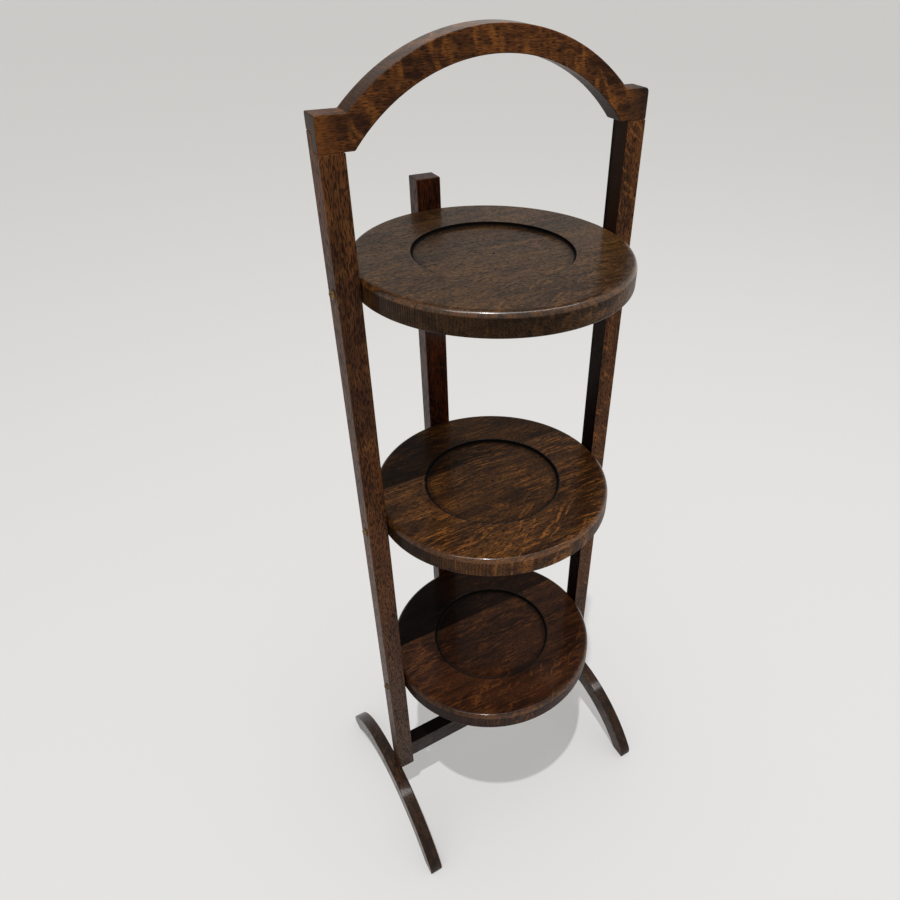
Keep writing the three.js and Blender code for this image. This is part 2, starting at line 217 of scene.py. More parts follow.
def new_group(name, inputs, outputs, kind="ShaderNodeTree"):
    """Start a node group. An input has a default value or a type of socket, an output a type."""
    group = bpy.data.node_groups.new(name, kind)
    for label, value in inputs.items():
        socket_type = TYPE_OF.get(type(value), value)
        socket = group.interface.new_socket(label, in_out="INPUT", socket_type=socket_type)
        if socket_type != value:
            socket.default_value = value
    for label, socket_type in outputs.items():
        group.interface.new_socket(label, in_out="OUTPUT", socket_type=socket_type)
    source = group.nodes.new("NodeGroupInput")
    return group, source.outputs, group.nodes.new("NodeGroupOutput").inputs


def use_group(tree, group, **inputs):
    """Place a shader group in a tree. Underscores in the names stand for spaces."""
    named = {label.replace("_", " "): value for label, value in inputs.items()}
    return place(tree, "ShaderNodeGroup", named, node_tree=group).outputs


def new_material(name):
    """A material made of nodes, and its shader."""
    material = bpy.data.materials.new(name)
    material.use_nodes = True
    return material, material.node_tree.nodes["Principled BSDF"]


print("group helpers ready")

# %% [markdown]
# ## Floor and light
#
# The stand is shown on a plain pale floor. One distant lamp stands high to the front left, so
# each plate shades the one below it, apart from a crescent at its front left. A long strip light
# high in front casts no shadow and draws the bright line along each rounded rim. The even,
# slightly warm light of the world does the rest, and nothing is over-lit.

# %% Floor, lamps and world
FLOOR_SIZE = 60.0
FLOOR_CORNERS = ((-1, -1), (1, -1), (1, 1), (-1, 1))
FLOOR_COLOUR = (0.67, 0.67, 0.672, 1)
FLOOR_ROUGHNESS = 0.55
FLOOR_GLOSS = 0.2
LAMP_LEAN = Vector((-0.165, -0.175, 1.0))
LAMP_WIDTH = radians(1.1)
LAMP_POWER = 1.15
STRIP_PLACE = Vector((0.0, -0.45, 2.9))
STRIP_AIM = Vector((0.0, 0.0, 0.5))
STRIP_LENGTH = 3.2
STRIP_WIDTH = 0.36
STRIP_POWER = 30.0
WORLD_COLOUR = (1.0, 0.975, 0.925, 1)
WORLD_LEVEL = 0.55


def add_light(name, kind, lean, **settings):
    """Add a light whose back looks along the lean."""
    lamp = add_object(name, set_all(bpy.data.lights.new(name, kind), **settings))
    lamp.rotation_euler = lean.to_track_quat("Z", "Y").to_euler()
    return lamp


corners = [(x * FLOOR_SIZE / 2, y * FLOOR_SIZE / 2, 0) for x, y in FLOOR_CORNERS]
floor_mesh = bpy.data.meshes.new("floor")
floor_mesh.from_pydata(corners, [], [(0, 1, 2, 3)])
floor = add_object("floor", floor_mesh)
floor_paint, floor_shader = new_material("pale_floor")
feed_all(floor_shader, {
    "Base Color": FLOOR_COLOUR, "Roughness": FLOOR_ROUGHNESS, "Specular IOR Level": FLOOR_GLOSS,
})
floor_mesh.materials.append(floor_paint)

add_light("high_lamp", "SUN", LAMP_LEAN, energy=LAMP_POWER, angle=LAMP_WIDTH)
strip = add_light(
    "strip_light", "AREA", STRIP_PLACE - STRIP_AIM, shape="RECTANGLE", size=STRIP_LENGTH,
    size_y=STRIP_WIDTH, energy=STRIP_POWER, use_shadow=False)
strip.location = STRIP_PLACE

world = bpy.data.worlds.new("studio")
world.use_nodes = True
feed_all(world.node_tree.nodes["Background"], {"Color": WORLD_COLOUR, "Strength": WORLD_LEVEL})
scene.world = world
scene.view_settings.view_transform = "Standard"
print("floor, lamps and world set")

# %% [markdown]
# ## The figure of oak
#
# In quarter-sawn oak the yearly rings run as fine lines, and the open pores as short dark dashes
# that soak up stain. The rays, ribbons of harder cells, take less stain: they show as small
# flecks along the grain, or as broad pale patches that slant and wander. An image of veneer would
# repeat and would not run through the wood. So one shader group works them out at any point in
# space, in millimetres, with the grain along X and the rings stacked along Y. It gives lines on a
# face and dots on an end, as in a real board.

# %% Shader group for the figure of oak
FIGURE_MASKS = ("Rings", "Streaks", "Pores", "Flecks", "Rays")
DRIFT_SIZE = (110, 34, 34)
NARROW_STREAK = (60, 7.0, 9.0)
BROAD_STREAK = (75, 40, 40)
BROAD_SHARE = 0.7
STREAK_MIDDLE = 0.35
RING_PULL = 0.05
PORE_LIMITS = (0.54, 0.63)
CROWD_SIZE = (38, 17, 38)
CROWD_LIMITS = (0.38, 0.60)
LONE_FLECKS = 0.15
FLECK_LIMITS = (0.48, 0.64)
oak_figure, given, made = new_group("Oak figure", {
    "Grain Place": VECTOR, "Ring Pitch": 2.0, "Wander": 4.0, "Pore Length": 7.0,
    "Pore Width": 0.9, "Fleck Length": 12.0, "Fleck Width": 1.8, "Ray Length": 16.0,
    "Ray Width": 4.0, "Ray Tilt": 0.6, "Ray Start": 0.56, "Ray Edge": 0.10,
}, dict.fromkeys(FIGURE_MASKS, FLOAT))

drift = cloud(given["Grain Place"], DRIFT_SIZE, detail=2)
sway = product(sum_of("SUBTRACT", drift, 0.5), given["Wander"])
grain = vector_of("ADD", given["Grain Place"], vector_from(0, sway, 0))
across = xyz(grain)["Y"]
phase = sum_of("DIVIDE", product(across, tau), given["Ring Pitch"])
rings = scaled(sum_of("SINE", phase), 0.5, 0.5)
narrow = cloud(grain, NARROW_STREAK, detail=4)
broad = cloud(given["Grain Place"], BROAD_STREAK, detail=1)
streaks = scaled(broad, BROAD_SHARE, sum_of("SUBTRACT", narrow, STREAK_MIDDLE))

pore_size = vector_from(given["Pore Length"], given["Pore Width"], given["Pore Width"])
pore_noise = cloud(grain, pore_size, detail=0.5)
pores = ramp(scaled(rings, RING_PULL, pore_noise), *PORE_LIMITS)

fleck_size = vector_from(given["Fleck Length"], given["Fleck Width"], given["Fleck Length"])
fleck_noise = cloud(grain, fleck_size, detail=3, bend=0.3)
crowds = ramp(cloud(grain, CROWD_SIZE, detail=2), *CROWD_LIMITS)
crowding = scaled(crowds, 1.0 - LONE_FLECKS, LONE_FLECKS)
flecks = product(ramp(fleck_noise, *FLECK_LIMITS), crowding)

tilted = place(oak_figure, "ShaderNodeVectorRotate", {
    "Vector": grain, "Angle": given["Ray Tilt"],
}, rotation_type="Z_AXIS").outputs[0]
ray_size = vector_from(given["Ray Length"], given["Ray Width"], given["Ray Length"])
ray_noise = cloud(tilted, ray_size, detail=2, bend=0.5)
ray_end = sum_of("ADD", given["Ray Edge"], given["Ray Start"])
rays = ramp(ray_noise, given["Ray Start"], ray_end)
for label, mask in zip(FIGURE_MASKS, (rings, streaks, pores, flecks, rays)):
    feed(made[label], mask)
print("group:", oak_figure.name, "with", len(oak_figure.nodes), "nodes")

# %% [markdown]
# ## Stain and polish
#
# The oak was stained nearly black-brown and polished. The stain sinks into pores and soft wood,
# and is thin on the rays. End grain shows the rings as fine ribs. This group mixes the colour
# from the figure, and makes filled pores duller and lower.

# %% Shader group for the stain
PORE_BLACK = (0.004, 0.002, 0.0015, 1)
DEPTH_LIMITS = (0.30, 0.72)
RIB_LIMITS = (0.25, 0.85)
SMOOTH_WOOD = 0.36
PORE_ROUGHNESS = 0.25
PORE_DULLNESS = -0.7
oak_stain, given, made = new_group("Oak stain", {
    "Rings": 0.5, "Streaks": 0.5, "Pores": 0.0, "Flecks": 0.0, "Rays": 0.0, "End Grain": 0.0,
    "Fleck Share": 0.5, "Ray Share": 0.5, "Pore Share": 0.6, "Rib Share": 0.2, "Polish": 0.05,
    "Dark Stain": (0.022, 0.0085, 0.003, 1), "Brown Stain": (0.070, 0.028, 0.0085, 1),
    "Ray Stain": (0.18, 0.074, 0.018, 1),
}, {"Color": COLOUR, "Roughness": FLOAT, "Coat": FLOAT, "Height": FLOAT})

depth = ramp(given["Streaks"], *DEPTH_LIMITS)
ground = mixed(depth, given["Dark Stain"], given["Brown Stain"])
side_grain = one_minus(given["End Grain"])
fleck_part = product(given["Flecks"], given["Fleck Share"])
ray_part = product(given["Rays"], given["Ray Share"])
pale_part = product(highest(fleck_part, ray_part), side_grain)
with_rays = mixed(pale_part, ground, given["Ray Stain"])
filled_pores = product(given["Pores"], given["Pore Share"])
ribs = product(ramp(given["Rings"], *RIB_LIMITS), given["End Grain"])
filled = highest(filled_pores, product(ribs, given["Rib Share"]))
feed(made["Color"], mixed(filled, with_rays, PORE_BLACK))
feed(made["Roughness"], scaled(filled, PORE_ROUGHNESS, SMOOTH_WOOD))
feed(made["Coat"], product(changed(filled, PORE_DULLNESS), given["Polish"]))
feed(made["Height"], one_minus(filled))
print("group:", oak_stain.name)

# %% [markdown]
# ## Worn edges
#
# Hands have rubbed the edges back to a warmer brown. The Bevel node finds edges: near an edge it
# bends the normal, and how far it bends is the mask. Soft patches break the mask up.

# %% Shader group for worn edges
WORN_RADIUS = 0.002
WORN_PATCH = (14, 14, 14)
PATCH_LIMITS = (0.35, 0.62)
BEND_LIMITS = (0.01, 0.16)
worn_edge, given, made = new_group("Worn edge", {"Place": VECTOR}, {"Mask": FLOAT})
rounded = place(worn_edge, "ShaderNodeBevel", {"Radius": WORN_RADIUS}, samples=6).outputs[0]
flat = place(worn_edge, "ShaderNodeNewGeometry").outputs["Normal"]
bent = one_minus(vector_of("DOT_PRODUCT", rounded, flat, output="Value"))
patches = ramp(cloud(given["Place"], WORN_PATCH, detail=3), *PATCH_LIMITS)
feed(made["Mask"], product(ramp(bent, *BEND_LIMITS), patches))
print("group:", worn_edge.name)

# %% [markdown]
# ## The way a surface faces
#
# End grain looks along the grain, and undersides look down. This group compares a face with an
# axis. Both Ways finds the faces at either end of it, and One Way only those at its far end.

# %% Shader group for facing
FACING_LIMITS = (0.25, 0.75)
side_facing, given, made = new_group(
    "Side facing", {"Axis": VECTOR}, {"Both Ways": FLOAT, "One Way": FLOAT})
outward = place(side_facing, "ShaderNodeTexCoord").outputs["Normal"]
along = vector_of("DOT_PRODUCT", outward, given["Axis"], output="Value")
feed(made["Both Ways"], ramp(sum_of("ABSOLUTE", along), *FACING_LIMITS))
feed(made["One Way"], ramp(along, *FACING_LIMITS))


def facing(tree, axis, way="Both Ways"):
    """The mask of the faces that look along an axis."""
    return use_group(tree, side_facing, Axis=axis)[way]


print("group:", side_facing.name)

# %% [markdown]
# ## Marks of the lathe
#
# The tool left fine rings that only show in a reflection, the corner of the sunk well holds dark
# old polish and painted shade, and the lathe's centre left a dent. Hands have rubbed the rounded
# rim and the lip of the well. This group measures a plate from its middle and its top, in
# millimetres, and gives these as masks that end a little below the top, as Upper Part does.

# %% Shader group for turned plates
INSIDE_WELL = (-0.65, -0.3)
WALL_BAND = (0.7, 2.8)
SHADE_BAND = (2.0, 9.0)
TOP_BAND = (-8.5, -6.5)
ROUND_RISE = (0.3, 0.8)
ROUND_FALL = (0.93, 0.995)
LIP_BEYOND_WALL = 0.95
LIP_BAND = (0.5, 1.35)
DENT_BAND = (0.7, 1.8)
lathe_marks, given, made = new_group("Lathe marks", {
    "Place": VECTOR, "Well Radius": 71.5, "Rim Radius": 125.0, "Rim Round": 6.0,
    "Line Pitch": 0.9,
}, dict.fromkeys((
    "Tool Lines", "Well Corner", "Well Shade", "Centre Dent", "Rubbed Rim", "Rubbed Lip",
    "Upper Part",
), FLOAT))
flat_place = vector_of("MULTIPLY", given["Place"], (1, 1, 0))
reach = vector_of("LENGTH", flat_place, output="Value")
turns = sum_of("DIVIDE", product(reach, tau), given["Line Pitch"])
feed(made["Tool Lines"], sum_of("SINE", turns))
near_top = ramp(xyz(given["Place"])["Z"], *TOP_BAND)
feed(made["Upper Part"], near_top)

# Well Corner and Well Shade mark where the well is drawn dark: old polish and painted shade.
off_corner = sum_of("SUBTRACT", given["Well Radius"], reach)
inside = product(ramp(off_corner, *INSIDE_WELL), near_top)
feed(made["Well Corner"], product(inside, one_minus(ramp(off_corner, *WALL_BAND))))
feed(made["Well Shade"], product(inside, one_minus(ramp(off_corner, *SHADE_BAND))))
off_lip = sum_of("ABSOLUTE", sum_of("ADD", off_corner, LIP_BEYOND_WALL))
feed(made["Rubbed Lip"], product(one_minus(ramp(off_lip, *LIP_BAND)), near_top))

round_start = sum_of("SUBTRACT", given["Rim Radius"], given["Rim Round"])
on_round = sum_of("DIVIDE", sum_of("SUBTRACT", reach, round_start), given["Rim Round"])
up_round = ramp(on_round, *ROUND_RISE)
down_side = one_minus(ramp(on_round, *ROUND_FALL))
feed(made["Rubbed Rim"], product(up_round, down_side, near_top))
feed(made["Centre Dent"], product(one_minus(ramp(reach, *DENT_BAND)), near_top))
print("group:", lathe_marks.name)

# %% [markdown]
# ## Oak for each piece
#
# Every piece was cut from its own board, so each material turns and shifts the pattern and mixes
# its own stain. A Mapping node turns the Object coordinates of the whole stand and makes
# millimetres of the metres.

# %% Oak material
MILLIMETRES = (1000, 1000, 1000)
ALONG_X_RINGS_UP = (-pi / 2, 0, 0)
ALONG_X_FLAT = (0, 0, 0)
ALONG_Y = (0, 0, -pi / 2)
ALONG_Z = (0, pi / 2, 0)
ALONG_Z_RINGS_ACROSS = (pi / 2, 0, pi / 2)
WORN_BROWN = (0.17, 0.065, 0.020, 1)
OLD_POLISH = 0.04
PORE_STRENGTH = 0.35
PORE_DEPTH = 0.0002
GRAIN_X = (1, 0, 0)
GRAIN_Y = (0, 1, 0)
GRAIN_Z = (0, 0, 1)
DOWN = (0, 0, -1)


def oak(name, turned, shift, axis, figure, stain, wear=0.6, coat_roughness=0.12):
    """An oak material and the nodes that other steps build on. axis is the way the grain runs."""
    material, shader = new_material(name)
    tree = material.node_tree
    in_stand = place(tree, "ShaderNodeTexCoord").outputs["Object"]
    mapping = place(tree, "ShaderNodeMapping", {
        "Vector": in_stand, "Location": shift, "Rotation": turned, "Scale": MILLIMETRES,
    })
    figured = use_group(tree, oak_figure, Grain_Place=mapping.outputs[0], **figure)
    masks = {key: figured[key] for key in FIGURE_MASKS}
    ends = facing(tree, axis)
    stained = use_group(tree, oak_stain, End_Grain=ends, **masks, **stain)
    edge = use_group(tree, worn_edge, Place=mapping.outputs[0])["Mask"]
    colour = mixed(product(edge, wear), stained["Color"], WORN_BROWN)
    bump = place(tree, "ShaderNodeBump", {
        "Strength": PORE_STRENGTH, "Distance": PORE_DEPTH, "Height": stained["Height"],
    })
    feed_all(shader, {
        "Base Color": colour, "Roughness": stained["Roughness"], "Coat Weight": stained["Coat"],
        "Normal": bump.outputs[0], "Coat Roughness": coat_roughness,
        "Specular IOR Level": OLD_POLISH,
    })
    return SimpleNamespace(
        material=material, tree=tree, surface=shader.inputs, in_stand=in_stand,
        grain_place=mapping.outputs[0], figured=figured, stained=stained, colour=colour,
        bump=bump, ends=ends,
    )


print("oak material ready")

# %% [markdown]
# ## Softened edges
#
# A real edge is never a razor: it was eased with a block and then rubbed for years. Each piece is
# a copy of its solid, welded, with its coplanar triangles dissolved. A few corners that hands
# have worn are rounded first. A Bevel modifier then eases the edges that carry a weight, and a
# Weighted Normal modifier keeps the broad faces flat to the eye.

# %% Softened copies of the solids
WELD = 1e-6
COPLANAR = radians(0.4)
CORNER = radians(34)
CORNER_STEPS = 5
EASE_STEPS = 3
BROAD_FACE_WEIGHT = 100


def show(piece, body, slot_name, *nodes):
    """Let a piece ride on its body and stand for its solids."""
    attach(piece, body)
    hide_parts(*nodes)
    print(piece.name, len(piece.data.polygons), "faces on", body)


def applied(piece):
    """Turn the modifiers of a piece into plain mesh."""
    bpy.context.view_layer.update()
    seen = piece.evaluated_get(bpy.context.evaluated_depsgraph_get())
    mesh = bpy.data.meshes.new_from_object(seen)
    piece.modifiers.clear()
    piece.data = mesh
    mesh.name = piece.name
    return piece


def rub_corners(shape, radius_of):
    """Round single edges first. radius_of gives the radius of an edge, or 0 for none."""
    rounded = set()
    for radius in sorted({radius_of(edge) for edge in shape.edges} - {0}):
        corners = [edge for edge in shape.edges if radius_of(edge) == radius]
        made = bmesh.ops.bevel(
            shape, geom=corners, offset=radius, offset_type="OFFSET", segments=CORNER_STEPS,
            profile=0.5, affect="EDGES", clamp_overlap=True)
        rounded.update(edge for face in made["faces"] for edge in face.edges)
    return rounded


def softened(node, name, material, ease, shortest, radius_of=None):
    """A copy of a solid with eased edges. radius_of gives the few edges that were rubbed round."""
    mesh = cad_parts[node].data.copy()
    shape = bmesh.new()
    shape.from_mesh(mesh)
    bmesh.ops.remove_doubles(shape, verts=shape.verts, dist=WELD)
    bmesh.ops.dissolve_limit(shape, angle_limit=COPLANAR, verts=shape.verts, edges=shape.edges)
    weights = shape.edges.layers.float.new("bevel_weight_edge")
    rounded = rub_corners(shape, radius_of) if radius_of else set()
    for edge in shape.edges:
        corner = edge.calc_face_angle(0) > CORNER
        eased = edge in rounded or edge.calc_length() > shortest
        edge[weights] = 1.0 if corner and eased else 0.0
        edge.smooth = eased or not corner
    for face in shape.faces:
        face.smooth = True
    shape.to_mesh(mesh)
    shape.free()
    mesh.materials.clear()
    mesh.materials.append(material)
    piece = add_object(name, mesh)
    set_all(
        piece.modifiers.new("eased edges", "BEVEL"), limit_method="WEIGHT", width=ease,
        segments=EASE_STEPS, use_clamp_overlap=False, miter_outer="MITER_ARC")
    set_all(
        piece.modifiers.new("flat broad faces", "WEIGHTED_NORMAL"), mode="FACE_AREA",
        weight=BROAD_FACE_WEIGHT, keep_sharp=True)
    return applied(piece)


print("helper for softened copies ready")

# %% [markdown]
# ## Uprights
#
# The uprights are plain square oak. The left one shows the long dashes of its pores on the
# front. The right one was cut the other way, so pale rays cross its front in waves. Towards the
# floor the outer wood has faded. No hand rubs the inner sides: they have kept the stain, with
# painted shade that makes them nearly black behind and low down, and painted light that makes
# them browner in front and high up.

# %% Uprights
POST_EASE = 0.0007
LONGEST_SLIVER = 0.004
POST_SHEEN = 0.26
# Inner sides: the kept stain, black where shade is painted and brown where light is painted.
INNER_STAIN_IN_SHADE = (0.0012, 0.0005, 0.0004, 1)
INNER_STAIN_IN_LIGHT = (0.022, 0.0095, 0.0055, 1)
INNER_SHARE = 0.97
INNER_DULLNESS = -0.7
FADED_BROWN = (0.078, 0.056, 0.046, 1)
FADE_BAND = (0.10, 0.55)
KEPT_IN_PORES = -0.8
FRONT_BAND = (-0.004, 0.001)
BROWN_BAND = (0.50, 0.86)


def post_oak(name, turned, shift, axis, figure, stain, inward, fade):
    """Frame oak: a side that kept its stain, with painted shade and light, and a faded part near
    the floor.
    """
    wood = oak(name, turned, shift, axis, figure, stain, coat_roughness=POST_SHEEN)
    inner = facing(wood.tree, inward, "One Way")
    spot = xyz(wood.in_stand)
    low_part = one_minus(ramp(spot["Z"], *FADE_BAND))
    faded = product(low_part, fade, changed(wood.figured["Pores"], KEPT_IN_PORES))
    outside = mixed(faded, wood.colour, FADED_BROWN)
    # Painted shade and light on the inner side: black behind and low down, brown in front and high
    # up.
    to_front = one_minus(ramp(spot["Y"], *FRONT_BAND))
    upright = one_minus(facing(wood.tree, GRAIN_Z))
    high_part = ramp(spot["Z"], *BROWN_BAND)
    kept_stain_and_painted_shade = mixed(product(to_front, upright, high_part), INNER_STAIN_IN_SHADE, INNER_STAIN_IN_LIGHT)
    unrubbed_and_shaded = product(inner, INNER_SHARE)
    feed(wood.surface["Base Color"], mixed(unrubbed_and_shaded, outside, kept_stain_and_painted_shade))
    dull = product(wood.stained["Coat"], changed(inner, INNER_DULLNESS))
    feed(wood.surface["Coat Weight"], dull)
    return wood.material


post_woods = {
    "left": post_oak("oak_left_upright", ALONG_Z, (31, 12, 5), GRAIN_Z, dict(
        Pore_Length=5.5, Pore_Width=0.75, Fleck_Length=16, Fleck_Width=2.2, Ray_Length=20,
        Ray_Width=5,
    ), dict(
        Fleck_Share=0.35, Ray_Share=0.15, Pore_Share=0.75, Polish=0.13,
        Dark_Stain=(0.045, 0.0145, 0.004, 1), Brown_Stain=(0.106, 0.035, 0.0090, 1),
    ), inward=(1, 0, 0), fade=0.7),
    "right": post_oak("oak_right_upright", ALONG_Z_RINGS_ACROSS, (57, 211, 88), GRAIN_Z, dict(
        Pore_Length=4.5, Pore_Width=0.75, Fleck_Length=12, Fleck_Width=2.0, Ray_Length=20,
        Ray_Width=4.2, Ray_Tilt=0.8, Ray_Start=0.55,
    ), dict(
        Fleck_Share=0.35, Ray_Share=0.7, Pore_Share=0.85, Polish=0.13,
        Dark_Stain=(0.048, 0.016, 0.0042, 1), Brown_Stain=(0.125, 0.043, 0.0105, 1),
        Ray_Stain=(0.24, 0.088, 0.020, 1),
    ), inward=(-1, 0, 0), fade=0.3),
}
for side, wood in post_woods.items():
    post = softened(f"{side}_upright", f"{side}_post", wood, POST_EASE, LONGEST_SLIVER)
    show(post, "frame", "dark_oak", f"{side}_upright")

# %% [markdown]
# ## Handle
#
# The handle was sawn from a wide quartered board, so its grain runs straight across the arch
# and comes out on the curves and ends as end grain, which has soaked up more stain. Broad pale
# rays cross its front. Hands have polished the curves, most at the crown and less underneath,
# and rubbed the left shoulder back to orange-brown. The right one is darker and the roundest.

# %% Handle
SHOULDER_END = 0.145
SHOULDER_TOP = 0.866
CROWN = 0.916
RIGHT_ROUND = 0.0036
LEFT_ROUND = 0.0012
HANDLE_EASE = 0.0009
CURVE_GLOSS = 0.63
UNDERNEATH = -0.5
LEFT_BAND = (-0.146, -0.126)
LEFT_GLOSS = 0.12
RIGHT_BAND = (0.118, 0.134)
RIGHT_DARKNESS = 0.6
END_STAIN = (0.018, 0.0115, 0.0085, 1)
SOAKED_SHARE = 0.65
HELD_BROWN = (0.155, 0.052, 0.011, 1)
HELD_SHARE = 0.85
HELD_PORES = -0.6


def end_radius(edge):
    """The upper outer ends of the handle's shoulders are round, the right one most of all."""
    middle = (edge.verts[0].co + edge.verts[1].co) / 2
    if abs(middle.x) < SHOULDER_END or middle.z < SHOULDER_TOP:
        return 0
    return RIGHT_ROUND if middle.x > 0 else LEFT_ROUND


handle_oak = oak("oak_handle", ALONG_X_RINGS_UP, (12, 33, 7), GRAIN_X, dict(
    Wander=6.0, Pore_Length=5.0, Pore_Width=0.47, Fleck_Length=9, Fleck_Width=2.4,
    Ray_Length=22, Ray_Width=10, Ray_Tilt=1.25, Ray_Start=0.48, Ray_Edge=0.22,
), dict(
    Fleck_Share=0.35, Ray_Share=0.65, Pore_Share=0.74, Polish=0.07,
    Dark_Stain=(0.028, 0.0100, 0.0045, 1), Brown_Stain=(0.108, 0.037, 0.0105, 1),
    Ray_Stain=(0.27, 0.095, 0.019, 1),
), coat_roughness=0.2)
tree = handle_oak.tree
spot = xyz(handle_oak.in_stand)
curved = one_minus(facing(tree, GRAIN_Y))
facing_down = facing(tree, DOWN, "One Way")
held = product(curved, ramp(spot["Z"], SHOULDER_TOP, CROWN), CURVE_GLOSS)
held = product(held, changed(facing_down, UNDERNEATH))
left_end = one_minus(ramp(spot["X"], *LEFT_BAND))
right_end = ramp(spot["X"], *RIGHT_BAND)
left_gloss = product(left_end, curved, LEFT_GLOSS)
coat = sum_of("ADD", handle_oak.stained["Coat"], held)
feed(handle_oak.surface["Coat Weight"], sum_of("ADD", coat, left_gloss))
cut_ends = facing(tree, GRAIN_X)
soaked = mixed(product(cut_ends, SOAKED_SHARE), handle_oak.colour, END_STAIN)
unfilled = changed(handle_oak.figured["Pores"], HELD_PORES)
held_end = product(left_end, one_minus(curved), unfilled, HELD_SHARE)
rubbed = mixed(held_end, soaked, HELD_BROWN)
darker = mixed(product(right_end, RIGHT_DARKNESS), rubbed, END_STAIN)
feed(handle_oak.surface["Base Color"], darker)
arch = softened(
    "handle", "carrying_handle", handle_oak.material, HANDLE_EASE, LONGEST_SLIVER, end_radius)
show(arch, "frame", "dark_oak", "handle")

# %% [markdown]
# ## Stretcher
#
# The stretcher is a plain, darker rail. It is made with the recipe of the uprights, and its
# upper side is the one that kept the stain; it is drawn nearly black, which also paints the
# shadow of the plates above.

# %% Stretcher
# Its near-black upper side is stain together with painted shadow of the plates above.
rail_oak = post_oak("oak_stretcher", ALONG_X_RINGS_UP, (140, 77, 19), GRAIN_X, {}, dict(
    Fleck_Share=0.15, Ray_Share=0.1, Pore_Share=0.7, Polish=0.2,
    Dark_Stain=(0.008, 0.0045, 0.003, 1), Brown_Stain=(0.020, 0.012, 0.008, 1),
    Ray_Stain=(0.030, 0.012, 0.005, 1),
), inward=GRAIN_Z, fade=0.35)
rail = softened("stretcher", "stretcher_rail", rail_oak, POST_EASE, LONGEST_SLIVER)
show(rail, "frame", "dark_oak", "stretcher")

# %% [markdown]
# ## Feet and rear bar
#
# The bracket feet are the darkest and glossiest pieces, with grain from toe to toe. The rear bar
# hangs behind the plates, is seldom touched and has kept a deep red-brown.

# %% Feet and rear bar
FOOT_EASE = 0.0011
FOOT_SLIVER = 0.002
BAR_EASE = 0.001

foot_oak = oak("oak_feet", ALONG_Y, (9, 64, 151), GRAIN_Y, dict(Ray_Width=5), dict(
    Fleck_Share=0.25, Ray_Share=0.15, Pore_Share=0.7, Polish=0.5,
    Dark_Stain=(0.012, 0.005, 0.0028, 1), Brown_Stain=(0.036, 0.016, 0.008, 1),
), wear=0.8, coat_roughness=0.12)
for side in SIDES:
    bracket = softened(
        f"{side}_foot", f"{side}_bracket_foot", foot_oak.material, FOOT_EASE, FOOT_SLIVER)
    show(bracket, "frame", "dark_oak", f"{side}_foot")
bar_oak = oak("oak_rear_bar", ALONG_Z_RINGS_ACROSS, (78, 20, 43), GRAIN_Z, {"Pore_Length": 9}, dict(
    Fleck_Share=0.4, Ray_Share=0.3, Pore_Share=0.8, Polish=0.35,
    Dark_Stain=(0.010, 0.003, 0.0012, 1), Brown_Stain=(0.050, 0.011, 0.0030, 1),
    Ray_Stain=(0.11, 0.026, 0.007, 1),
), wear=0.35, coat_roughness=0.14)
bar = softened("rear_bar", "link_bar_oak", bar_oak.material, BAR_EASE, LONGEST_SLIVER)
show(bar, "link_bar", "dark_oak", "rear_bar")

# %% [markdown]
# ## Turned pieces with Geometry Nodes
#
# Plates, screws, washers and hinge pins are all turned: a section spun round an axis. One tree
# makes them all. It bends a grid round the axis, reads the section point by point from the low
# end outwards and up to the top, and welds the seam and the poles.

# %% Geometry group that turns a section
turned_shape, given, made = new_group(
    "Turned shape", {"Section": GEOMETRY, "Sides": 48}, {"Mesh": GEOMETRY}, "GeometryNodeTree")
add = partial(place, turned_shape)
counted = add("GeometryNodeAttributeDomainSize", {"Geometry": given["Section"]})
rows = counted.outputs["Point Count"]
sheet = add("GeometryNodeMeshGrid", {
    "Size X": 1.0, "Size Y": 1.0, "Vertices X": sum_of("ADD", given["Sides"], 1),
    "Vertices Y": rows,
})
own_place = add("GeometryNodeInputPosition").outputs[0]
spot = xyz(own_place)
angle = product(sum_of("ADD", spot["X"], 0.5), tau)
last_row = sum_of("SUBTRACT", rows, 1)
row = sum_of("ROUND", product(sum_of("ADD", spot["Y"], 0.5), last_row))
section_place = add("GeometryNodeSampleIndex", {
    "Geometry": given["Section"], "Value": own_place, "Index": row,
}, data_type="FLOAT_VECTOR", domain="POINT")
section_spot = xyz(section_place.outputs["Value"])
out = section_spot["X"]
spun = vector_from(
    product(out, sum_of("COSINE", angle)), product(out, sum_of("SINE", angle)), section_spot["Z"])
bent_sheet = add("GeometryNodeSetPosition", {"Geometry": sheet.outputs["Mesh"], "Position": spun})
welded = add("GeometryNodeMergeByDistance", {"Geometry": bent_sheet.outputs[0], "Distance": WELD})
feed(made["Mesh"], welded.outputs[0])
print("group:", turned_shape.name, "with", len(turned_shape.nodes), "nodes")

# %% [markdown]
# ## Fittings set at their places
#
# The second tree cuts a screwdriver slot across the turned shape where a slot has a width, and
# puts a copy at each point of a helper mesh that carries the aim of the axis. A seeded random
# turn keeps the slots from lining up, as no fitter's ever do.

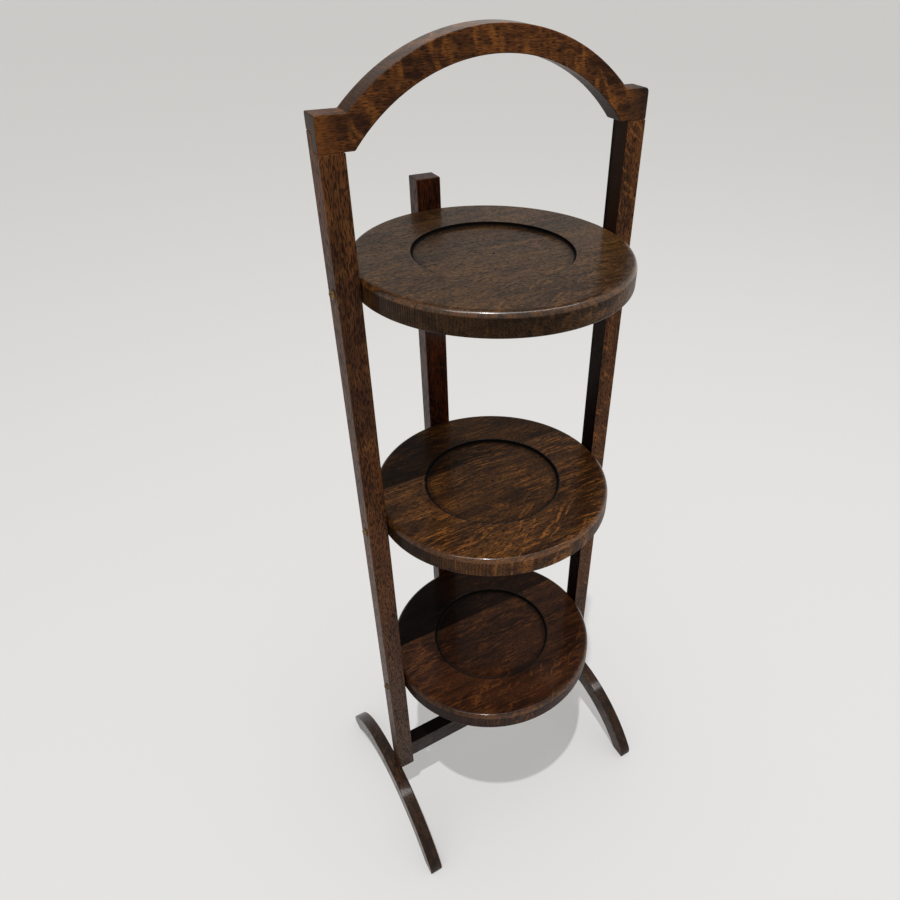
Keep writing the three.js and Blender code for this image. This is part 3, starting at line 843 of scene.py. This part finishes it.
# %% Geometry tree that sets fittings
set_fittings, given, made = new_group("Turned fittings", {
    "Section": GEOMETRY, "Places": "NodeSocketObject", "Sides": 24, "Slot Width": 0.0,
    "Slot Depth": 0.0, "Slot Length": 0.0, "Seed": 1, "Finish": "NodeSocketMaterial",
}, {"Fittings": GEOMETRY}, "GeometryNodeTree")
add = partial(place, set_fittings)
shape = add("GeometryNodeGroup", {
    "Section": given["Section"], "Sides": given["Sides"],
}, node_tree=turned_shape).outputs[0]
cutter_size = vector_from(
    given["Slot Length"], given["Slot Width"], product(given["Slot Depth"], 2.0))
cutter = add("GeometryNodeMeshCube", {"Size": cutter_size})
slotted = add("GeometryNodeMeshBoolean", {
    "Mesh 1": shape, "Mesh 2": cutter.outputs["Mesh"],
}, operation="DIFFERENCE", solver="EXACT")
has_slot = add("FunctionNodeCompare", {
    0: given["Slot Width"], 1: 0.0,
}, data_type="FLOAT", operation="GREATER_THAN")
chosen = add("GeometryNodeSwitch", {
    "Switch": has_slot.outputs[0], "False": shape, "True": slotted.outputs["Mesh"],
}, input_type="GEOMETRY")
places = add("GeometryNodeObjectInfo", {"Object": given["Places"]})
aim = add("GeometryNodeInputNamedAttribute", {"Name": "aim"}, data_type="FLOAT_VECTOR")
aimed = add("FunctionNodeAlignRotationToVector", {"Vector": aim.outputs["Attribute"]}, axis="Z")
chance = add("FunctionNodeRandomValue", {"Seed": given["Seed"]}, data_type="FLOAT")
slot_turn = add("FunctionNodeAxisAngleToRotation", {
    "Axis": (0, 0, 1), "Angle": product(chance.outputs[1], pi),
})
turned_aim = add("FunctionNodeRotateRotation", {
    "Rotation": aimed.outputs[0], "Rotate By": slot_turn.outputs[0],
}, rotation_space="LOCAL")
copies = add("GeometryNodeInstanceOnPoints", {
    "Points": places.outputs["Geometry"], "Instance": chosen.outputs[0],
    "Rotation": turned_aim.outputs[0],
})
real = add("GeometryNodeRealizeInstances", {"Geometry": copies.outputs[0]})
finished = add("GeometryNodeSetMaterial", {
    "Geometry": real.outputs[0], "Material": given["Finish"],
})
feed(made["Fittings"], finished.outputs[0])
print("tree:", set_fittings.name, "with", len(set_fittings.nodes), "nodes")

# %% [markdown]
# ## Helper for turned pieces
#
# A section is a chain of points, outwards and up. The helper gives it to the tree with the
# places and the aims, turns the result into plain mesh, and removes the modifier.

# %% Helper that turns and sets pieces
SMOOTH_UP_TO = radians(32)


def polyline(name, points):
    """A chain of points as a mesh."""
    mesh = bpy.data.meshes.new(name)
    mesh.from_pydata(points, [(i, i + 1) for i in range(len(points) - 1)], [])
    return add_object(name, mesh)


def turned_pieces(name, section, settings, finish, **sizes):
    """Turn a section of (out, up) points and set it at each (place, aim)."""
    piece = polyline(name, [(out, 0, up) for out, up in section])
    points = polyline(f"{name}_places", [spot for spot, _ in settings])
    aims = points.data.attributes.new("aim", "FLOAT_VECTOR", "POINT")
    aims.data.foreach_set("vector", [part for _, axis in settings for part in axis])
    modifier = piece.modifiers.new("turned fittings", "NODES")
    modifier.node_group = set_fittings
    keys = {item.name: item.identifier for item in set_fittings.interface.items_tree
            if item.item_type == "SOCKET" and item.in_out == "INPUT"}
    modifier[keys["Places"]] = points
    modifier[keys["Finish"]] = finish
    for label, value in sizes.items():
        modifier[keys[label.replace("_", " ")]] = value
    applied(piece)
    bpy.data.objects.remove(points)
    piece.data.shade_smooth()
    piece.data.set_sharp_from_angle(angle=SMOOTH_UP_TO)
    return piece


def arc(centre_out, centre_up, radius, start, end, steps):
    """Points on an arc of a section, with angles in degrees."""
    angles = [radians(start + (end - start) * i / steps) for i in range(steps + 1)]
    return [(centre_out + radius * cos(a), centre_up + radius * sin(a)) for a in angles]


print("turning helper ready")

# %% [markdown]
# ## Boards and tones of the plates
#
# Each plate is two boards glued edge to edge behind the middle. Behind the joint the plate is
# drawn darker, most of all at its left and on its top. The rays swell towards the front edge. The
# sides of the rim that show long grain and end grain took the stain differently, and on the top
# plate the ends of the rim and the right of its front are painted lighter as a reflection.

# %% Boards and tones of the plates
BACK_BOARD_SHIFT = (171, -96, 40, 0)
SWELL_BAND = (-95, -25)
FLAT_RAYS = 0.15
LEFT_TO_RIGHT = (-60, 40)
LOWER_PART = 0.3
FAR_RIGHT = (-20, 22)
# How much the wood darkens near the wall of the well: painted shade with old polish.
WELL_SHADE_AND_GRIME = -0.5


def two_boards(wood, spot, shift, joint):
    """Shift the pattern behind the glued joint, and return the mask of the back board."""
    links = wood.grain_place.links
    targets = [link.to_socket for link in links if link.to_socket.node.type == "GROUP"]
    back = sum_of("GREATER_THAN", spot["Y"], joint)
    second_board = tuple(a + b for a, b in zip((*shift, 1), BACK_BOARD_SHIFT))
    board_shift = mixed(back, (*shift, 1), second_board)
    for target in targets:
        feed(target, vector_of("ADD", wood.grain_place, board_shift))
    front = one_minus(ramp(spot["Y"], *SWELL_BAND))
    rays = product(wood.figured["Rays"], scaled(front, 1.0 - FLAT_RAYS, FLAT_RAYS))
    feed(wood.stained["Color"].node.inputs["Rays"], rays)
    return back


def plate_tone(marks, spot, back, front_side, end_side, tones):
    """How dark each part is: back board, rim sides with painted reflection, well with painted shade
    and grime.
    """
    to_right = ramp(spot["X"], *LEFT_TO_RIGHT)
    far_right = ramp(spot["X"], *FAR_RIGHT)
    back_part = product(back, scaled(marks["Upper Part"], 1.0 - LOWER_PART, LOWER_PART))
    # Painted shade with old polish darkens the wood towards the wall of the well.
    shade = changed(marks["Well Shade"], WELL_SHADE_AND_GRIME)
    # On the top plate, the lighter ends and right of the rim's sides are a painted reflection.
    for part, mask, across in (
            ("back", back_part, to_right), ("front_side", front_side, far_right),
            ("end_side", end_side, to_right)):
        left, right = tones[part]
        shade = product(shade, changed(mask, scaled(across, right - left, left - 1.0)))
    return shade


print("board helpers ready")

# %% [markdown]
# ## Oak of the plates
#
# The ends of the boards show their rings as upright ribs, and the front, cut along the grain,
# stays plain. The rounded rim is rubbed back to orange-brown in patches and shines, less at the
# left; the orange-brown is partly wear and partly a painted glow around the rim's highlight. Old
# polish and dirt sit in the glued joint, and as small dots along the lip of the well. The corner
# of the well is drawn nearly black, old polish with painted shade. The undersides had little
# polish.

# %% Oak of the plates
PLATE_CENTRE_Y = -7.4
LONG_GRAIN_SIDE = (-0.06, 1.0, 0)
# Orange-brown of the rubbed rim: partly wear, partly a painted glow around its highlight.
RIM_WEAR_AND_GLOW = (0.130, 0.046, 0.008, 1)
RIM_SHINE = 1.1
LIP_SHINE = 0.25
# Near black for dirt in the ribs, joint and lip, and for the painted shade in the well's corner.
GRIME_AND_SHADE_BLACK = (0.003, 0.002, 0.0015, 1)
RIB_SIZE = (0.7, 0.7, 60)
RIB_EDGES = (0.44, 0.60)
PATCH = (6, 6, 6)
PATCH_EDGES = (0.40, 0.62)
DOT_SIZE = (1.6, 1.6, 1.6)
DOT_EDGES = (0.34, 0.46)
HELD_BAND = (-100, -30)
PATCHY_RUB = (0.5, 0.05)
SEAM_WIDTH = (0.1, 0.45)
SEAM_DARKNESS = 0.25
SIDE_DULLNESS = -0.5
SHADED_POLISH = (0.8, 0.2)
UNDERSIDE_DULLNESS = -0.6
CORNER_ROUGHNESS = 0.4
TOOL_LINE_HEIGHT = 0.03


def plate_oak(tier, shift, figure, stain, joint, tones):
    """Oak of two glued boards, with the marks of the lathe."""
    wood = oak(
        f"oak_{tier}_plate", ALONG_X_FLAT, (0, 0, 0), GRAIN_X, figure, stain,
        coat_roughness=tones["sheen"])
    tree = wood.tree
    place_now = wood.grain_place
    spot = xyz(place_now)
    back = two_boards(wood, spot, shift, joint)
    top_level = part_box(f"{tier}_plate")[1].z * MILLIMETRES[2]
    centred = vector_of("SUBTRACT", place_now, (0, PLATE_CENTRE_Y, top_level))
    marks = use_group(tree, lathe_marks, Place=centred)
    front_side = facing(tree, LONG_GRAIN_SIDE)
    side = one_minus(facing(tree, GRAIN_Z))
    end_side = product(side, one_minus(front_side))
    shade = plate_tone(marks, spot, back, front_side, end_side, tones)
    grey = place(tree, "ShaderNodeCombineColor", {"Red": shade, "Green": shade, "Blue": shade})
    darkened = mixed(1.0, wood.colour, grey.outputs[0], mode="MULTIPLY")

    patchy = ramp(cloud(place_now, PATCH, detail=5), *PATCH_EDGES)
    rib_zone = highest(side, marks["Rubbed Rim"])
    plain = changed(front_side, -tones["plain_front"])
    ribs = product(ramp(cloud(place_now, RIB_SIZE, detail=0), *RIB_EDGES), rib_zone, plain)
    feed(wood.stained["Color"].node.inputs["End Grain"], product(wood.ends, plain))
    # The rubbed rim, weaker at the left, is wear with a painted glow around the rim's highlight.
    rim_left = scaled(
        ramp(spot["X"], *HELD_BAND), 1.0 - tones["left_rim"], tones["left_rim"])
    held_rim = product(marks["Rubbed Rim"], rim_left)
    rim = product(held_rim, scaled(patchy, *PATCHY_RUB), tones["rim"])
    rubbed = mixed(rim, darkened, RIM_WEAR_AND_GLOW)
    # The wall and corner of the well are drawn nearly black: old polish and painted shade.
    corner = highest(marks["Well Corner"], marks["Centre Dent"])
    off_seam = sum_of("ABSOLUTE", sum_of("SUBTRACT", spot["Y"], joint))
    seam = scaled(ramp(off_seam, *SEAM_WIDTH), -SEAM_DARKNESS, SEAM_DARKNESS)
    dots = ramp(cloud(place_now, DOT_SIZE, detail=1), *DOT_EDGES)
    lip_dots = product(marks["Rubbed Lip"], dots, tones["lip"])
    grime_and_shade = highest(product(ribs, tones["ribs"]), corner, seam, lip_dots)
    feed(wood.surface["Base Color"], mixed(grime_and_shade, rubbed, GRIME_AND_SHADE_BLACK))

    polish = product(
        wood.stained["Coat"], changed(side, SIDE_DULLNESS), scaled(shade, *SHADED_POLISH))
    rim_spots = product(held_rim, changed(ribs, tones["speckle"]))
    shine = scaled(rim_spots, RIM_SHINE, polish)
    shine = scaled(product(marks["Rubbed Lip"], patchy), LIP_SHINE, shine)
    underside = facing(tree, DOWN, "One Way")
    shine = product(shine, changed(underside, UNDERSIDE_DULLNESS))
    feed(wood.surface["Coat Weight"], product(shine, one_minus(corner)))
    feed(wood.surface["Roughness"], scaled(corner, CORNER_ROUGHNESS, wood.stained["Roughness"]))
    height = scaled(marks["Tool Lines"], TOOL_LINE_HEIGHT, wood.stained["Height"])
    feed(wood.bump.inputs["Height"], height)
    return wood.material


print("plate oak ready")

# %% [markdown]
# ## Three boards, three woods
#
# The top plate is the palest and has lost its warmth to the light. The middle one shows the
# broadest rays, and the bottom one is the darkest and reddest.

# %% Woods of the three plates
# The top plate's end_side and front_side tones paint a reflection: its rim is lighter at the ends
# and right.
plate_woods = {
    "top": plate_oak("top", (20, 5, 0), dict(
        Pore_Length=3.4, Pore_Width=0.65, Fleck_Length=9, Fleck_Width=1.8,
        Ray_Length=20, Ray_Width=4.5, Ray_Tilt=-0.5,
    ), dict(
        Fleck_Share=0.5, Ray_Share=0.45, Pore_Share=0.72, Rib_Share=0.75, Polish=0.34,
        Dark_Stain=(0.025, 0.0105, 0.003, 1), Brown_Stain=(0.066, 0.030, 0.0095, 1),
        Ray_Stain=(0.15, 0.066, 0.020, 1),
    ), 30.0, dict(
        back=(0.8, 0.9), front_side=(0.58, 1.38), end_side=(1.75, 2.6), plain_front=0.85,
        ribs=0.6, rim=1.2, lip=0.2, speckle=-0.6, sheen=0.19, left_rim=1.0)),
    "middle": plate_oak("middle", (330, 77, 60), dict(
        Pore_Length=4.0, Pore_Width=0.75, Fleck_Length=22, Fleck_Width=2.4,
        Ray_Length=27, Ray_Width=6.4, Ray_Tilt=-0.55, Ray_Start=0.575,
    ), dict(
        Fleck_Share=0.85, Ray_Share=0.85, Pore_Share=0.75, Rib_Share=0.75, Polish=0.18,
        Dark_Stain=(0.024, 0.009, 0.0028, 1), Brown_Stain=(0.072, 0.0285, 0.0080, 1),
        Ray_Stain=(0.205, 0.075, 0.015, 1),
    ), 33.0, dict(
        back=(0.2, 0.6), front_side=(1.45, 1.45), end_side=(0.7, 0.9), plain_front=0.4,
        ribs=0.5, rim=1.5, lip=1.0, speckle=-0.35, sheen=0.13, left_rim=0.7)),
    "bottom": plate_oak("bottom", (610, 31, 120), dict(
        Pore_Length=4.0, Pore_Width=0.75, Fleck_Length=14, Fleck_Width=2.6,
        Ray_Length=24, Ray_Width=6.0, Ray_Tilt=-0.7, Ray_Start=0.60,
    ), dict(
        Fleck_Share=0.55, Ray_Share=0.6, Pore_Share=0.6, Rib_Share=0.75, Polish=0.2,
        Dark_Stain=(0.0165, 0.0053, 0.0026, 1), Brown_Stain=(0.044, 0.0150, 0.0058, 1),
        Ray_Stain=(0.14, 0.046, 0.010, 1),
    ), 30.5, dict(
        back=(0.08, 0.42), front_side=(1.6, 1.6), end_side=(0.85, 1.0), plain_front=0.0,
        ribs=0.55, rim=1.6, lip=0.9, speckle=-0.35, sheen=0.12, left_rim=0.45)),
}
print("plate woods:", ", ".join(plate_woods))

# %% [markdown]
# ## Plates
#
# Each plate is a turned disc of 250 mm. Its top edge is a full round, its bottom edge a small
# one, and a shallow well with a crisp rim is sunk in the middle.

# %% Plates
PLATE_RADIUS = 0.125
PLATE_THICKNESS = 0.022
TOP_ROUND = 0.006
BOTTOM_ROUND = 0.0025
WELL_RADIUS = 0.0715
WELL_DEPTH = 0.0035
WELL_LIP = 0.0005
WELL_STEP = 0.0018
WELL_COVE = 0.005
DENT_RADIUS = 0.0012
DENT_DEPTH = 0.0006
NEAR_EDGE = 0.0008
PLATE_SIDES = 192
UP = (0, 0, 1)

floor_edge = WELL_RADIUS - WELL_COVE
hollow = WELL_DEPTH - WELL_STEP
cove = [(floor_edge + WELL_COVE * c, -WELL_STEP - hollow * s) for c, s in arc(0, 0, 1, 0, 90, 8)]
plate_section = [
    (0, -PLATE_THICKNESS),
    (PLATE_RADIUS - BOTTOM_ROUND - NEAR_EDGE, -PLATE_THICKNESS),
    *arc(PLATE_RADIUS - BOTTOM_ROUND, BOTTOM_ROUND - PLATE_THICKNESS, BOTTOM_ROUND, -90, 0, 8),
    (PLATE_RADIUS, BOTTOM_ROUND - PLATE_THICKNESS + NEAR_EDGE),
    (PLATE_RADIUS, -TOP_ROUND - NEAR_EDGE),
    *arc(PLATE_RADIUS - TOP_ROUND, -TOP_ROUND, TOP_ROUND, 0, 90, 14),
    (PLATE_RADIUS - TOP_ROUND - NEAR_EDGE, 0),
    (WELL_RADIUS + WELL_LIP + NEAR_EDGE, 0),
    *arc(WELL_RADIUS + WELL_LIP, -WELL_LIP, WELL_LIP, 90, 180, 5),
    *cove,
    (floor_edge - NEAR_EDGE, -WELL_DEPTH),
    (DENT_RADIUS + NEAR_EDGE, -WELL_DEPTH),
    (DENT_RADIUS, -WELL_DEPTH),
    (0, -WELL_DEPTH - DENT_DEPTH),
]
for tier in TIERS:
    low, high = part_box(f"{tier}_plate")
    centre = ((low.x + high.x) / 2, (low.y + high.y) / 2, high.z)
    disc = turned_pieces(
        f"{tier}_turned_plate", plate_section, [(centre, UP)], plate_woods[tier],
        Sides=PLATE_SIDES)
    show(disc, f"{tier}_tier", "dark_oak", f"{tier}_plate")

# %% [markdown]
# ## Aged brass
#
# The screws, washers and hinges are brass that has not been polished for decades. Their high
# spots are still yellow, with a brown film over the rest. A metal keeps its colour in the
# reflection, so the film is a mask that lowers Metallic and darkens the colour.

# %% Brass
BRASS_YELLOW = (0.30, 0.19, 0.07, 1)
BRASS_FILM = (0.040, 0.023, 0.012, 1)
BLOTCH_SIZE = (2.4, 2.4, 2.4)
FILM_LIMITS = (0.75, 1.15)
FILM_OVER_METAL = -0.35
FILM_ROUGHNESS = 0.25
BRASS_ROUGHNESS = 0.30
brass_film, given, made = new_group(
    "Brass film", {"Place": VECTOR, "Cover": 0.5},
    {"Color": COLOUR, "Metallic": FLOAT, "Roughness": FLOAT})
blotches = cloud(given["Place"], BLOTCH_SIZE, detail=4)
film = ramp(sum_of("ADD", blotches, given["Cover"]), *FILM_LIMITS)
feed(made["Color"], mixed(film, BRASS_YELLOW, BRASS_FILM))
feed(made["Metallic"], changed(film, FILM_OVER_METAL))
feed(made["Roughness"], scaled(film, FILM_ROUGHNESS, BRASS_ROUGHNESS))


def brass(name, cover):
    """Brass under a brown film that covers more or less of it."""
    material, shader = new_material(name)
    tree = material.node_tree
    in_stand = place(tree, "ShaderNodeTexCoord").outputs["Object"]
    mapping = place(tree, "ShaderNodeMapping", {"Vector": in_stand, "Scale": MILLIMETRES})
    filmed = use_group(tree, brass_film, Place=mapping.outputs[0], Cover=cover)
    feed_all(shader, {key: filmed[label] for key, label in (
        ("Base Color", "Color"), ("Metallic", "Metallic"), ("Roughness", "Roughness"))})
    return material


screw_brass = brass("brass_screws", 0.5)
hinge_brass = brass("brass_hinges", 0.42)
print("materials:", screw_brass.name, hinge_brass.name)

# %% [markdown]
# ## Screws
#
# Round-head screws carry the plates and show on the outside of the uprights. The others are
# countersunk. Each kind is one section, turned and slotted by the tree, and set where the boxes
# of the solids say.

# %% Screws
AIMS = {
    "left": (-1, 0, 0), "right": (1, 0, 0), "back": (0, 1, 0), "front": (0, -1, 0), "down": DOWN,
}
TIP_SHARE = 1.5
RIM_DEPTH = 0.00015
RIM_SHARE = 0.97
FLAT_SHARE = 0.93
SCREW_SIDES = 32
PIVOT_SEED = 11
LEAF_SEED = 21
# Each kind: head radius, head height, shank radius, length, round head; slot width and depth.
SCREWS = {
    "pivot": ((0.0045, 0.0028, 0.0025, 0.042, True), (0.0012, 0.0013)),
    "handle": ((0.0032, 0.0016, 0.0017, 0.016, False), (0.0007, 0.0008)),
    "foot": ((0.0037, 0.0018, 0.002, 0.028, False), (0.0007, 0.0008)),
    "leaf": ((0.0023, 0.0011, 0.0012, 0.010, False), (0.0006, 0.0005)),
}


def head_place(node, aim_name):
    """The middle of the outer end of a screw's head, and its aim."""
    low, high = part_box(node)
    centre = (low + high) / 2
    reach = (high - low) / 2
    outer = centre + Vector(a * r for a, r in zip(AIMS[aim_name], reach))
    return tuple(outer), AIMS[aim_name]


def screw_section(head_radius, head_height, shank_radius, length, round_head):
    """Tip, shank and head, with the outer end of the head at the top."""
    tip = TIP_SHARE * shank_radius
    shank = [(0, -length), (shank_radius, tip - length), (shank_radius, -head_height)]
    if not round_head:
        head = [(head_radius * RIM_SHARE, -RIM_DEPTH), (head_radius * FLAT_SHARE, 0), (0, 0)]
        return shank + head
    sphere = (head_radius ** 2 + head_height ** 2) / (2 * head_height)
    start = degrees(asin((sphere - head_height) / sphere))
    return [*shank, *arc(0, -sphere, sphere, start, 90, 8)[:-1], (0, 0)]


def screws(name, kind, nodes, body, seed):
    """Turn one kind of screw at the places of these nodes."""
    sizes, (width, depth) = SCREWS[kind]
    settings = [head_place(node, aim_name) for node, aim_name in nodes]
    piece = turned_pieces(
        name, screw_section(*sizes), settings, screw_brass, Sides=SCREW_SIDES,
        Slot_Width=width, Slot_Depth=depth, Slot_Length=4 * sizes[0], Seed=seed)
    show(piece, body, "brass", *[node for node, _ in nodes])


lap_places = [(f"{side}_handle_screw", "back") for side in SIDES]
foot_places = [(f"{side}_foot_{end}_screw", side) for side in SIDES for end in ("front", "back")]
bar_places = [(f"{tier}_bar_leaf_{side}_screw", "front") for tier in TIERS for side in SIDES]
screws("handle_lap_screws", "handle", lap_places, "frame", seed=3)
screws("foot_screws", "foot", foot_places, "frame", seed=5)
screws("bar_leaf_screws", "leaf", bar_places, "link_bar", seed=7)
for seed, tier in enumerate(TIERS):
    pivots = [(f"{tier}_{side}_pivot_screw", side) for side in SIDES]
    leaves = [(f"{tier}_plate_leaf_{side}_screw", "down") for side in SIDES]
    screws(f"{tier}_pivots", "pivot", pivots, f"{tier}_tier", PIVOT_SEED + seed)
    screws(f"{tier}_plate_screws", "leaf", leaves, f"{tier}_tier", LEAF_SEED + seed)

# %% [markdown]
# ## Washers and hinges
#
# A thin washer keeps each rim off its upright. Under the back edge of each plate a butt hinge
# joins it to the rear bar. Its two leaves keep the shape of their solids with eased edges, and
# the pin and the washers are turned like the screws.

# %% Washers and hinges
WASHER_OUTER = 0.00525
WASHER_BORE = 0.0028
WASHER_THICKNESS = 0.0008
WASHER_EASE = 0.0002
WASHER_SIDES = 40
PIN_RADIUS = 0.001
PIN_HEAD = 0.0015
PIN_HEAD_LENGTH = 0.0005
PIN_SIDES = 24
LEAF_EASE = 0.00015
LEAF_SLIVER = 0.0015

washer_section = [
    (WASHER_BORE, -WASHER_THICKNESS), (WASHER_OUTER - WASHER_EASE, -WASHER_THICKNESS),
    (WASHER_OUTER, WASHER_EASE - WASHER_THICKNESS), (WASHER_OUTER, -WASHER_EASE),
    (WASHER_OUTER - WASHER_EASE, 0), (WASHER_BORE, 0), (WASHER_BORE, -WASHER_THICKNESS),
]
for tier in TIERS:
    rings = [head_place(f"{tier}_{side}_washer", side) for side in SIDES]
    washers = turned_pieces(
        f"{tier}_washers", washer_section, rings, hinge_brass, Sides=WASHER_SIDES)
    show(washers, f"{tier}_tier", "brass", *[f"{tier}_{side}_washer" for side in SIDES])

    low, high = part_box(f"{tier}_hinge_pin")
    length = high.x - low.x
    pin_section = [
        (0, -length), (PIN_HEAD, -length), (PIN_HEAD, PIN_HEAD_LENGTH - length),
        (PIN_RADIUS, PIN_HEAD_LENGTH - length), (PIN_RADIUS, -PIN_HEAD_LENGTH),
        (PIN_HEAD, -PIN_HEAD_LENGTH), (PIN_HEAD, 0), (0, 0),
    ]
    pin_place = head_place(f"{tier}_hinge_pin", "right")
    pin = turned_pieces(f"{tier}_pin", pin_section, [pin_place], hinge_brass, Sides=PIN_SIDES)
    show(pin, f"{tier}_tier", "brass", f"{tier}_hinge_pin")
    for part, body in (("plate", f"{tier}_tier"), ("bar", "link_bar")):
        node = f"{tier}_hinge_{part}_leaf"
        leaf = softened(node, f"{tier}_{part}_leaf", hinge_brass, LEAF_EASE, LEAF_SLIVER)
        show(leaf, body, "brass", node)
